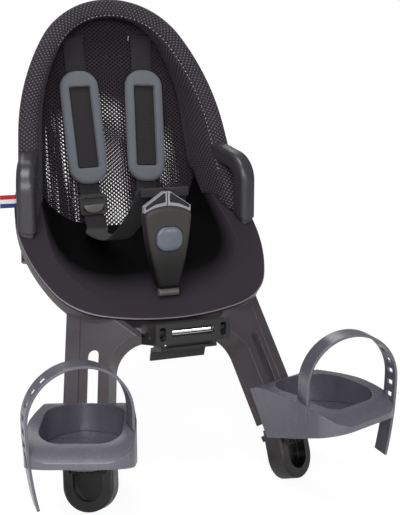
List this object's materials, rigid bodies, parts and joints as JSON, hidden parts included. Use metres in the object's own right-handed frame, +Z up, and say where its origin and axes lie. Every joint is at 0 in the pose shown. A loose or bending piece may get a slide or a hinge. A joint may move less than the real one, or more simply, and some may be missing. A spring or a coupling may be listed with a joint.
{
  "type": "front child bicycle seat",
  "caption": "Front bicycle seat for a small child: mesh hoop back, dished pan, arm guards, buckle harness, two turned-out legs with sliding foot cups and a quick-release bracket.",
  "frame": {"origin": "middle of the bracket's front face", "axes": "+Z up, -Y forwards the way the child faces, +X to the child's left"},
  "size_m": [0.3746, 0.4339, 0.5074],
  "materials": {
    "frame_plastic": "satin moulded",
    "pan_plastic": "soft matte",
    "black_tube": "satin",
    "mesh_fabric": "open mesh",
    "webbing": "woven",
    "pad_foam": "brushed foam",
    "guard_rubber": "satin",
    "black_plastic": "satin",
    "slate_plastic": "satin",
    "grey_plastic": "satin",
    "bright_steel": "polished",
    "ribbon": "three woven stripes"
  },
  "bodies": {
    "seat": {"seat_frame": "frame_plastic", "seat_pan": "pan_plastic", "back_hoop": "black_tube", "back_cover": "mesh_fabric", "strap_plate": "black_plastic", "ribbon_tag": "ribbon", "guard_right": "guard_rubber", "guard_left": "guard_rubber", "guard_collars": "guard_rubber", "buckle_front": "black_plastic", "buckle_back": "black_plastic", "crotch_strap": "webbing", "crotch_bar": "black_plastic", "crotch_roll": "grey_plastic", "mount_housing": "black_plastic", "lock_bar": "bright_steel", "lever_pin": "bright_steel", "housing_screws": "bright_steel", "shoulder_strap_right": "webbing", "shoulder_strap_left": "webbing", "shoulder_pad_right": "pad_foam", "shoulder_pad_left": "pad_foam", "strap_adjuster_right": "black_plastic", "strap_adjuster_left": "black_plastic", "lower_strap_right": "webbing", "lower_strap_left": "webbing", "buckle_tongue_right": "grey_plastic", "buckle_tongue_left": "grey_plastic"},
    "button": {"buckle_button": "grey_plastic"},
    "lever": {"release_lever": "black_plastic"},
    "footrest_right": {"foot_cup_right": "slate_plastic", "foot_strap_right": "slate_plastic", "slider_block_right": "black_plastic", "lock_pawl_right": "black_plastic"},
    "lock_right": {"height_lock_right": "slate_plastic"},
    "footrest_left": {"foot_cup_left": "slate_plastic", "foot_strap_left": "slate_plastic", "slider_block_left": "black_plastic", "lock_pawl_left": "black_plastic"},
    "lock_left": {"height_lock_left": "slate_plastic"}
  },
  "joints": [
    {"name": "buckle_press", "type": "slide", "parent": "seat", "child": "button", "axis": [0, 1, 0], "range_m": [0, 0.0025], "stiffness_N_per_m": 800},
    {"name": "lever_pull", "type": "hinge", "parent": "seat", "child": "lever", "pos_m": [0, 0.02, -0.009], "axis": [1, 0, 0], "range_deg": [0, 6], "stiffness_Nm_per_rad": 0.6},
    {"name": "footrest_slide_right", "type": "slide", "parent": "seat", "child": "footrest_right", "axis": [-0.183, 0.5201, 0.8343], "range_m": [0, 0.04]},
    {"name": "height_lock_pull_right", "type": "slide", "parent": "footrest_right", "child": "lock_right", "axis": [0.5592, -0.829, 0], "range_m": [0, 0.004], "stiffness_N_per_m": 700},
    {"name": "footrest_slide_left", "type": "slide", "parent": "seat", "child": "footrest_left", "axis": [0.183, 0.5201, 0.8343], "range_m": [0, 0.04]},
    {"name": "height_lock_pull_left", "type": "slide", "parent": "footrest_left", "child": "lock_left", "axis": [-0.5592, -0.829, 0], "range_m": [0, 0.004], "stiffness_N_per_m": 700}
  ]
}
